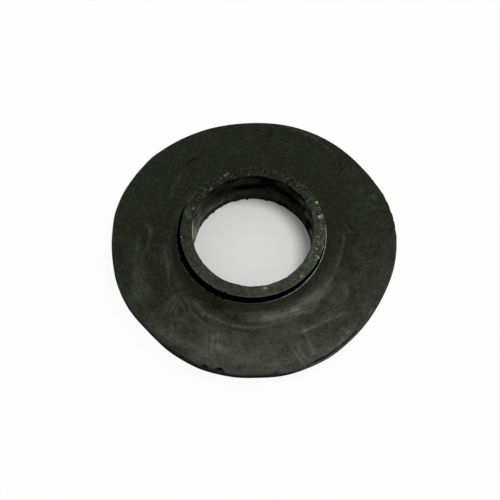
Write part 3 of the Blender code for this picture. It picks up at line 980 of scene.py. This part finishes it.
class Wear:
    """Where the rubber is pale, scuffed, dark, powdery or flaky, and where light and shade are painted on
    it: numbers over the section and the turn.
    """

    # The bloom and the scuffs also carry painted light, the shade carries painted shade besides darker
    # marks, and the flakes also carry painted highlights and reflections
    kinds = ("bloom", "scuff", "shade", "powder", "flake_and_glint")

    def __init__(self, relief, x, y):
        self.relief = relief
        self.on = relief.section.on
        self.angle = relief.angle
        self.radius = relief.plain_radius / MM
        self.height = relief.plain_height / MM
        drift = DRIFT + FLANGE_DRIFT * self.out("drifting")
        self.x = x / MM + drift * self.cloud("drift_x")
        self.y = y / MM + drift * self.cloud("drift_y")
        self.broken = self.cloud("broken")
        self.bloom, self.scuff, self.shade, self.powder, self.flake_and_glint = np.zeros((5, *self.radius.shape))

    def out(self, name):
        """How far each point has come into a zone, going outwards."""
        return ramp(*RADII[name], self.radius)

    def up(self, name):
        """How far each point has come into a zone, going up or down."""
        return ramp(*HEIGHTS[name], self.height)

    def cloud(self, name):
        """A cloud over the whole surface, seen from above."""
        return cloud(self.angle, self.radius / CLOUD_RADIUS, name)

    def wall_cloud(self, name):
        """A cloud over the bore's wall."""
        return cloud(self.angle, self.height / CLOUD_HEIGHT, name)

    def stroke(self, width, points):
        """1 along a smooth line through points in plan, falling off as a bell and fading at its ends."""
        path = smooth_path(points)
        steps = np.hypot(*np.diff(path, axis=0).T)
        travelled = np.concatenate(([0], np.cumsum(steps))) / steps.sum()
        closest = np.full(self.radius.shape, np.inf)
        reached = np.zeros(self.radius.shape)
        for (x, y), (end_x, end_y), begin, end in zip(path, path[1:], travelled, travelled[1:]):
            run, rise = end_x - x, end_y - y
            along = np.clip(((self.x - x) * run + (self.y - y) * rise) / (run**2 + rise**2), 0, 1)
            distance = np.hypot(self.x - x - along * run, self.y - y - along * rise)
            reached = np.where(distance < closest, begin + (end - begin) * along, reached)
            closest = np.minimum(distance, closest)
        ends = ramp(0, STROKE_END, reached) * ramp(1, 1 - STROKE_END, reached)
        return hump(closest, width) * (STROKE_END_STRENGTH + (1 - STROKE_END_STRENGTH) * ends)

    def strokes(self, *lists):
        """The sum of all the strokes in some lists, each at its own strength."""
        return sum(strength * self.stroke(*line) for marks in lists for strength, *line in marks)

    def spread_bloom(self):
        """Bloom all over the upper side: heavy in front, light at the left, and hardly any at the back. The
        heavy front, and the flare's bloom, are partly painted light that makes the near side and the
        flare's steep side brighter.
        """
        angle = self.angle
        ring = hump(self.radius - FOOT_BLOOM_RADIUS, FOOT_BLOOM_WIDTH)
        # The front lobes of the flange's bloom are partly painted light, making the near side brighter
        even = bells(angle, FLANGE_BLOOM_AND_LIGHT) + ring * bells(angle, FOOT_BLOOM)
        self.bloom += self.on("flange") * even * (INNER_BLOOM + OUTER_BLOOM * self.out("outer_flange"))
        # The rim's bloom in front is partly painted light
        upper = self.up("rim_bloom") * bells(angle, RIM_BLOOM_AND_LIGHT)
        self.bloom += self.on("rim") * (RIM_SIDE_BLOOM + upper)
        foot = self.out("flare_foot")
        # The flare's bloom in front and at the left is partly painted light, standing in for light on its
        # steep side
        flare = bells(angle, FLARE_BLOOM_AND_LIGHT) * (1 - foot) + (even * FOOT_BLOOM_SHARE + FOOT_BLOOM_REST) * foot
        self.bloom += self.on("flare") * flare + self.on("underside", "seat") * UNDERSIDE_BLOOM
        self.powder += self.on("flare", "flange") * LOOSE_POWDER

    def scuff_upper_side(self):
        """Paler strokes on the flange and the flare, those on the flare's front partly a painted highlight,
        then darker strokes, and painted shade under the hub's edge.
        """
        upper = self.on("flare", "flange") * self.broken
        # The flare's streaks in these lists are partly a painted highlight
        lists = (LEFT_SCUFFS, CORNER_SCUFFS, FOOT_SCUFFS, RIGHT_SCUFFS, BACK_SCUFFS, FLARE_SHEEN_AND_SCUFFS)
        self.scuff += upper * self.strokes(*lists)
        # Painted shade on the flare just under the hub's edge
        painted_shade_under_edge = hump(self.radius - HUB_PAINTED_SHADE_RADIUS, HUB_PAINTED_SHADE_WIDTH) * bells(self.angle, HUB_PAINTED_SHADE)
        self.shade += upper * (self.strokes(SMUDGES) + painted_shade_under_edge)

    def mark_rim(self):
        """Pale crumbs on the rim, painted light on its side in front, and painted shade on its corner,
        along a line under it, on its lower side and in its nicks.
        """
        angle, rim = self.angle, self.on("rim")
        near_rim = self.on("flange", "rim") * self.out("near_rim")
        for marks, grain in ((RIM_CRUMBS, "rim_crumbs"), (BACK_RIM_CRUMBS, "back_rim_crumbs")):
            self.scuff += near_rim * plateaus(angle, marks) * come_out("rim_crumbs", wander(angle, grain))
        # Painted shade on the rim's upper corner, along a line under it, and on its lower part
        corner = self.on("rim", "flange") * self.out("rim_corner") * self.up("rim_corner")
        self.shade += corner * plateaus(angle, RIM_CORNER_PAINTED_SHADE)
        line = wander(angle, "rim_line") * plateaus(angle, RIM_PAINTED_SHADE_LINE)
        self.shade += rim * self.up("rim_line") * line
        self.shade += rim * self.up("lower_rim") * plateaus(angle, LOWER_RIM_PAINTED_SHADE)
        # Painted light: the rim's side in front is paler where it is lit, and is not shaded there
        pale = plateaus(angle, RIM_LIT_SIDE)
        front = self.up("over_rim_foot") * self.up("under_rim_corner")
        self.scuff += rim * front * RIM_SIDE_PAINTED_LIGHT * pale
        # Painted shade on the rim's side and in its nicks, a nick taking part of the side's shade away
        nicks = sum(self.relief.nick(centre, width) for _, centre, width in RIM_NICKS)
        side = self.up("rim_side") * RIM_SIDE_PAINTED_SHADE * (1 - pale)
        self.shade += rim * side * (1 - NICK_LIGHT * nicks)
        self.shade += nicks * self.relief.near_rim() * self.up("rim_nicks") * RIM_NICK_PAINTED_SHADE

    def wear_hub_edge(self):
        """A painted highlight along the flash on the hub's edge, a pale scuff on it, and painted shade
        inside its nicks.
        """
        edge = self.on("hub_edge") | (self.on("flare") & (self.height > HUB_EDGE_HEIGHT))
        rough = wander(self.angle, "hub_line")
        self.scuff += edge * HUB_EDGE_SCUFF * rough
        # Painted highlight: a pale line where the flash on the hub's edge catches the light
        self.flake_and_glint += self.on("hub_edge") * plateaus(self.angle, HUB_EDGE_HIGHLIGHT) * rough
        # Painted shade inside the hub's nicks
        nicks = sum(self.relief.nick(centre, width) for _, centre, width in HUB_NICKS)
        self.shade += edge * nicks * HUB_NICK_PAINTED_SHADE

    def powder_face(self):
        """Bloom and crumbs on the collar's face, thickest at the right, with dark dots and pale flakes. The
        face's bloom in front is partly painted light, and the lip at the back gets painted shade.
        """
        angle, face = self.angle, self.on("face", "lip")
        # The face's bloom in front is partly painted light, making the near side brighter
        self.bloom += face * bells(angle, FACE_BLOOM_AND_LIGHT)
        self.bloom += face * self.out("face_edge") * bells(angle, FACE_EDGE_BLOOM)
        crumbs = plateaus(angle, FACE_CRUMBS) + bells(angle, RIGHT_CRUMBS)
        crumbs = crumbs * (INNER_CRUMBS + OUTER_CRUMBS * self.out("outer_face"))
        self.powder += face * (bells(angle, FACE_POWDER) + crumbs)
        worn_edge = self.out("worn_edge") * come_out("worn_edge", wander(angle, "worn_edge"))
        dotted = come_out("face_dots", self.cloud("face_dots")) * plateaus(angle, FACE_DOTS)
        self.shade += face * (bells(angle, FACE_SHADE) + worn_edge * plateaus(angle, WORN_EDGE) + dotted)
        # Painted shade on the lip's rounded edge at the back
        self.shade += self.on("lip") * plateaus(angle, LIP_PAINTED_SHADE)
        self.scuff += face * FACE_SCUFF * come_out("face_scuffs", self.cloud("face_scuffs"))
        ragged = self.cloud("flake_edges")
        for strength, width, points in FLAKES:
            torn = self.stroke(width * FLAKE_SPREAD, points) * ragged
            self.flake_and_glint += face * strength * come_out("flakes", torn)

    def patches(self, marks):
        """The sum of patches of the bore's wall, each a bell both ways, with ragged edges."""
        angle = self.angle + self.wall_cloud("patch_turn")
        height = self.height + self.wall_cloud("patch_rise")
        return sum(
            strength * bell(angle, centre, spread) * hump(height - middle, tall)
            for strength, centre, spread, middle, tall in marks
        )

    def mark_bore(self):
        """The bore's wall: painted light and painted reflections at the left, and painted shade with black
        blotches at the back right, under its upper edge and in the pit.
        """
        wall = self.on("land", "recess", "bore_head")
        patchy, speckled = self.wall_cloud("wall_patches"), self.wall_cloud("wall_specks")
        streaky = self.wall_cloud("wall_streaks")
        coarse = self.wall_cloud("wall_crumbs") * plateaus(self.angle, WALL_CRUMBS)
        even = WALL_BLOOM + patchy + WALL_SPECK_BLOOM * speckled + WALL_CRUMB_BLOOM * coarse
        # The pale patches are partly painted light, on the lit left of the wall and on the lower land
        self.bloom += wall * (even + self.patches(BORE_PALES_AND_LIGHT) * streaky)
        # Painted reflections: bright streaks on the left of the wall
        self.flake_and_glint += wall * self.patches(BORE_PAINTED_REFLECTIONS) * streaky
        # Painted shade just under the bore's upper edge
        under_face = hump(self.height - BORE_EDGE_PAINTED_SHADE_HEIGHT, BORE_EDGE_PAINTED_SHADE_TALL)
        under_face = under_face * plateaus(self.angle, BORE_EDGE_PAINTED_SHADE)
        specks = WALL_SPECK_SHADE * come_out("wall_specks", speckled)
        specks = specks + WALL_GAP_SHADE * come_out("wall_gaps", coarse)
        # Painted shade in the recess, under the upper land and in the pit, with dark blotches and specks
        self.shade += wall * (self.patches(BORE_SHADE_AND_BLOTCHES) + self.relief.pit() + under_face + specks)

    def paint_shade_in_hollows(self):
        """Painted shade: black in the groove and under the lip, where no light gets in."""
        # Painted shade in the groove and the undercut
        self.shade += self.on("groove", "undercut") * plateaus(self.angle, GROOVE_PAINTED_SHADE)

    def write(self, mesh):
        """Keep the numbers on the mesh, for the material to read."""
        for name in self.kinds:
            attribute = mesh.attributes.new(name, "FLOAT", "POINT")
            values = np.clip(getattr(self, name), 0, 1).astype(np.float32)
            attribute.data.foreach_set("value", values.ravel())


def closed_grid(name, x, y, z):
    """A mesh from a grid that closes on itself both ways: the section goes down it, the turn across."""
    rows, columns = x.shape
    index = np.arange(rows * columns).reshape(rows, columns)
    down, along = np.roll(index, -1, 0), np.roll(index, -1, 1)
    faces = np.stack((index, down, np.roll(down, -1, 1), along), -1).reshape(-1, 4)
    mesh = bpy.data.meshes.new(name)
    mesh.vertices.add(rows * columns)
    mesh.vertices.foreach_set("co", np.stack((x, y, z), -1).astype(np.float32).ravel())
    mesh.loops.add(faces.size)
    mesh.loops.foreach_set("vertex_index", faces.astype(np.int32).ravel())
    mesh.polygons.add(len(faces))
    mesh.polygons.foreach_set("loop_start", np.arange(0, faces.size, 4, dtype=np.int32))
    mesh.update(calc_edges=True)
    mesh.validate()
    mesh.shade_smooth()
    return mesh


class Socket:
    """A shader socket that can be added, multiplied and so on, which adds Math nodes."""

    def __init__(self, paint, socket):
        self.paint = paint
        self.socket = socket

    def math(self, operation, *values):
        """The result of a Math node on these values."""
        return self.paint.node("ShaderNodeMath", {"operation": operation}, dict(enumerate(values)))

    def __add__(self, other):
        return self.math("ADD", self, other)

    def __sub__(self, other):
        return self.math("SUBTRACT", self, other)

    def __mul__(self, other):
        return self.math("MULTIPLY", self, other)

    def __truediv__(self, other):
        return self.math("DIVIDE", self, other)

    def __pow__(self, other):
        return self.math("POWER", self, other)

    def __rsub__(self, other):
        return self.math("SUBTRACT", other, self)

    def __rtruediv__(self, other):
        return self.math("DIVIDE", other, self)

    __radd__ = __add__
    __rmul__ = __mul__

    def between(self, low, high):
        """0 where this is low, 1 where it is high, and a smooth S between them."""
        values = {"Value": self, "From Min": low, "From Max": high}
        return self.paint.node("ShaderNodeMapRange", {"interpolation_type": "SMOOTHSTEP"}, values)


class Paint:
    """The nodes of a material or a world, which are added one call at a time."""

    def __init__(self, owner):
        self.owner = owner
        owner.use_nodes = True
        self.tree = owner.node_tree
        self.tree.nodes.clear()

    def node(self, kind, settings=None, values=None, output=0):
        """Add a node of this kind with its settings, feed its sockets, and return one of its outputs."""
        node = self.tree.nodes.new(kind)
        for key, value in (settings or {}).items():
            setattr(node, key, value)
        for key, value in (values or {}).items():
            if isinstance(value, Socket):
                self.tree.links.new(value.socket, node.inputs[key])
            else:
                node.inputs[key].default_value = value
        return Socket(self, node.outputs[output]) if node.outputs else None

    def mix(self, factor, first, second):
        """A colour between two, at the factor."""
        settings = {"data_type": "RGBA", "clamp_factor": True}
        return self.node("ShaderNodeMix", settings, {0: factor, 6: first, 7: second}, 2)

    def noise(self, vector, name):
        """One of the rubber's noises, from 0 to 1 about a half."""
        scale, detail, roughness = NOISES[name]
        values = {"Vector": vector, "Scale": scale, "Detail": detail, "Roughness": roughness}
        return self.node("ShaderNodeTexNoise", {}, values)

    def attribute(self, name):
        """One of the numbers kept on the mesh."""
        return self.node("ShaderNodeAttribute", {"attribute_name": name}, {}, "Fac")

    def place(self):
        """The point in Object coordinates."""
        return self.node("ShaderNodeTexCoord", {}, {}, "Object")

    def split(self, vector):
        """A vector's X, Y and Z."""
        return (self.node("ShaderNodeSeparateXYZ", {}, {0: vector}, axis) for axis in "XYZ")

    def join(self, x, y, z):
        """A vector from its X, Y and Z."""
        return self.node("ShaderNodeCombineXYZ", {}, {"X": x, "Y": y, "Z": z})

    def looked_at(self):
        """1 to the camera, also in gloss and through glass, and 0 to the light that falls on things."""
        rays = ("Is Camera Ray", "Is Glossy Ray", "Is Transmission Ray")
        camera, glossy, through = (self.node("ShaderNodeLightPath", {}, {}, ray) for ray in rays)
        return camera + glossy + through

    def whiten(self, factor, plain, white):
        """A shader that is plain, and white where and to whom the factor is 1."""
        return self.node("ShaderNodeMixShader", {}, {0: factor, 1: plain, 2: white})

    def finish(self, kind, shader):
        """Send the shader to an output of this kind, and return what was painted."""
        self.node(kind, {}, {"Surface": shader})
        return self.owner


def solid(rgb):
    """A colour with full alpha."""
    return (*rgb, 1.0)


def rubber_material(finish):
    """Matt black rubber: tinted and clouded by bloom, scuffed, powdery on the face, with painted light in
    the bloom, scuffs and flakes, and painted shade that makes it black in the groove.
    """
    paint = Paint(bpy.data.materials.new("rubber"))
    place = paint.place()
    x, y, z = paint.split(place)
    radius = (x * x + y * y) ** 0.5
    outwards = (radius + z) * STREAKS_OUTWARDS
    around = paint.join(x / radius * STREAKS_ROUND, y / radius * STREAKS_ROUND, outwards)
    along = paint.join(x * STROKES_ACROSS, y * STROKES_ALONG, z * STROKES_ALONG)
    plain = ("cloudy", "mottled", "grain", "tint", "specks")
    cloudy, mottled, grain, tint, specks = (paint.noise(place, name) for name in plain)
    streaks, strokes = paint.noise(around, "streaks"), paint.noise(along, "strokes")
    bloom, scuff, shade, powder, flake_and_glint = (paint.attribute(name) for name in Wear.kinds)
    lines = streaks.between(0.3, 0.7)
    clouds = 0.6 + cloudy.between(0.32, 0.68) * 0.4 + lines * 0.25
    clouds = clouds + (mottled - 0.5) * 0.9 + (grain - 0.5) * 1.2
    brushed = 0.5 + lines * 0.7 + strokes.between(0.3, 0.7) * 0.4 + (mottled - 0.5) * 0.9
    # Bloom and scuffs also carry painted light: the brighter near side, the rim's lit side and the flare's
    # highlight
    pale = bloom * clouds + scuff * brushed
    pale = pale + (cloudy - 0.5) * 0.1 + (mottled - 0.5) * 0.15 + (grain - 0.5) * 0.25
    dust = paint.mix(tint.between(0.38, 0.62), solid(finish.bloom), solid(finish.cool_bloom))
    clean = paint.mix(cloudy.between(0.4, 0.6), solid(finish.rubber), solid(finish.cool_rubber))
    tone = paint.mix(pale, clean, dust)
    # Flakes also carry painted highlights and reflections, on the hub's edge and the bore's left wall
    crumbs = powder * specks.between(0.57, 0.68) + flake_and_glint * (0.4 + mottled.between(0.3, 0.6) * 0.6)
    tone = paint.mix(crumbs, tone, solid(finish.powder))
    # Painted shade: the groove, the bore, the rim's side, the nicks and under the hub's edge, with darker
    # smudges and dots
    tone = paint.mix(shade, tone, solid(finish.shade))
    rough = finish.roughness + pale * 0.2
    height = grain * 0.5 + mottled * 0.5 + streaks * 0.1 + crumbs * 0.4
    bump = {"Strength": finish.bump, "Distance": finish.bump_height, "Height": height}
    normal = paint.node("ShaderNodeBump", {}, bump)
    looks = {"Base Color": tone, "Roughness": rough, "Specular IOR Level": finish.gloss, "Normal": normal}
    shader = paint.node("ShaderNodeBsdfPrincipled", {}, looks)
    return paint.finish("ShaderNodeOutputMaterial", shader)


def floor_material(studio):
    """Pale matt floor that takes a shadow: grey under the bore, nearly white to the camera elsewhere."""
    paint = Paint(bpy.data.materials.new("pale_floor"))
    x, y, _ = paint.split(paint.place())
    outside = ((x * x + y * y) ** 0.5).between(studio.grey_radius - MM, studio.grey_radius + MM)
    matt = paint.node("ShaderNodeBsdfDiffuse", {}, {"Color": solid(studio.floor)})
    white = paint.node("ShaderNodeEmission", {}, {"Color": WHITE, "Strength": 1.0})
    shader = paint.whiten(paint.looked_at() * outside * studio.floor_white, matt, white)
    return paint.finish("ShaderNodeOutputMaterial", shader)


class GASKET_OT_mould(bpy.types.Operator):
    """Mould the gasket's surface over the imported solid, with its wear, and paint it as rubber"""

    bl_idname = "gasket.mould"
    bl_label = "Mould the Gasket"

    def execute(self, context):
        section = Section(context.scene.gasket_sizes)
        relief = Relief(section, np.linspace(0, math.tau, TURN_STEPS, endpoint=False))
        relief.rim_faults()
        relief.hub_edge_faults()
        relief.bore_faults()
        relief.face_faults()
        relief.flange_faults()
        x, y, z = relief.set_out_of_true(context.scene.gasket_set)
        mesh = closed_grid("gasket_rubber", x, y, z)
        wear = Wear(relief, x, y)
        wear.spread_bloom()
        wear.scuff_upper_side()
        wear.mark_rim()
        wear.wear_hub_edge()
        wear.powder_face()
        wear.mark_bore()
        wear.paint_shade_in_hollows()
        wear.write(mesh)
        mesh.materials.append(rubber_material(context.scene.gasket_finish))
        gasket = bpy.data.objects.new("gasket_rubber", mesh)
        context.scene.collection.objects.link(gasket)
        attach(gasket, "root")
        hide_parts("gasket")
        return {"FINISHED"}


def add_floor(scene, studio):
    """One square of floor just under the seat."""
    half, below = studio.floor_size / 2, -studio.floor_drop
    corners = [(-half, -half, below), (half, -half, below), (half, half, below), (-half, half, below)]
    mesh = bpy.data.meshes.new("floor")
    mesh.from_pydata(corners, [], [(0, 1, 2, 3)])
    mesh.materials.append(floor_material(studio))
    floor = bpy.data.objects.new("floor", mesh)
    scene.collection.objects.link(floor)


def add_key_light(scene, studio):
    """A square area light over the gasket, turned to shine at it."""
    light = bpy.data.lights.new("key", "AREA")
    light.shape = "SQUARE"
    light.size = studio.key_size
    light.energy = studio.key_power
    lamp = bpy.data.objects.new("key", light)
    lamp.location = studio.key_place
    lamp.rotation_euler = (-Vector(studio.key_place)).to_track_quat("-Z", "Y").to_euler()
    scene.collection.objects.link(lamp)


def add_world(scene, studio):
    """Even light from all round, which the camera sees as white."""
    paint = Paint(bpy.data.worlds.new("studio"))
    around = paint.node("ShaderNodeBackground", {}, {"Color": WHITE, "Strength": studio.ambient})
    white = paint.node("ShaderNodeBackground", {}, {"Color": WHITE, "Strength": 1.0})
    shader = paint.whiten(paint.looked_at(), around, white)
    scene.world = paint.finish("ShaderNodeOutputWorld", shader)


def add_camera(scene, studio):
    """The camera looks down at the gasket, turned by its roll, with the gasket a little off the middle."""
    down, roll = studio.elevation, studio.roll
    forward = Vector((0.0, math.cos(down), -math.sin(down)))
    level, steep = Vector((1.0, 0.0, 0.0)), Vector((0.0, math.sin(down), math.cos(down)))
    right = math.cos(roll) * level + math.sin(roll) * steep
    up = math.cos(roll) * steep - math.sin(roll) * level
    camera = bpy.data.cameras.new("camera")
    camera.lens = camera.sensor_width * studio.distance / studio.picture_width
    camera.clip_start, camera.clip_end = CAMERA_REACH
    seen = bpy.data.objects.new("camera", camera)
    place = Matrix((right, up, -forward)).transposed().to_4x4()
    place.translation = up * studio.below - right * studio.aside - forward * studio.distance
    seen.matrix_world = place
    scene.collection.objects.link(seen)
    scene.camera = seen


class GASKET_OT_studio(bpy.types.Operator):
    """Add the pale floor, the soft light, the even surroundings and the camera"""

    bl_idname = "gasket.studio"
    bl_label = "Set Up the Studio"

    def execute(self, context):
        scene, studio = context.scene, context.scene.gasket_studio
        add_floor(scene, studio)
        add_key_light(scene, studio)
        add_world(scene, studio)
        add_camera(scene, studio)
        scene.view_settings.view_transform = "Standard"
        return {"FINISHED"}


class GASKET_PT_panel(bpy.types.Panel):
    """The gasket's tools in the 3D view's sidebar"""

    bl_label = "Gasket"
    bl_idname = "GASKET_PT_panel"
    bl_space_type = "VIEW_3D"
    bl_region_type = "UI"
    bl_category = "Gasket"

    def draw(self, context):
        self.layout.operator(GASKET_OT_mould.bl_idname)
        self.layout.operator(GASKET_OT_studio.bl_idname)
        for name, kind in SETTINGS.items():
            column = self.layout.column(align=True)
            for key in kind.__annotations__:
                column.prop(getattr(context.scene, name), key)


# The scene's settings by name, and all the classes in the order in which they are registered
SETTINGS = {
    "gasket_sizes": GasketSizes,
    "gasket_set": GasketSet,
    "gasket_finish": GasketFinish,
    "gasket_studio": StudioSettings,
}
CLASSES = (*SETTINGS.values(), GASKET_OT_mould, GASKET_OT_studio, GASKET_PT_panel)


def register():
    """Register the classes, and give the scene its settings."""
    for kind in CLASSES:
        bpy.utils.register_class(kind)
    for name, kind in SETTINGS.items():
        setattr(bpy.types.Scene, name, bpy.props.PointerProperty(type=kind))


def unregister():
    """Take the settings from the scene, and the classes away."""
    for name in SETTINGS:
        delattr(bpy.types.Scene, name)
    for kind in reversed(CLASSES):
        bpy.utils.unregister_class(kind)


def main():
    register()
    bpy.ops.gasket.mould()
    bpy.ops.gasket.studio()


if __name__ == "__main__":
    main()
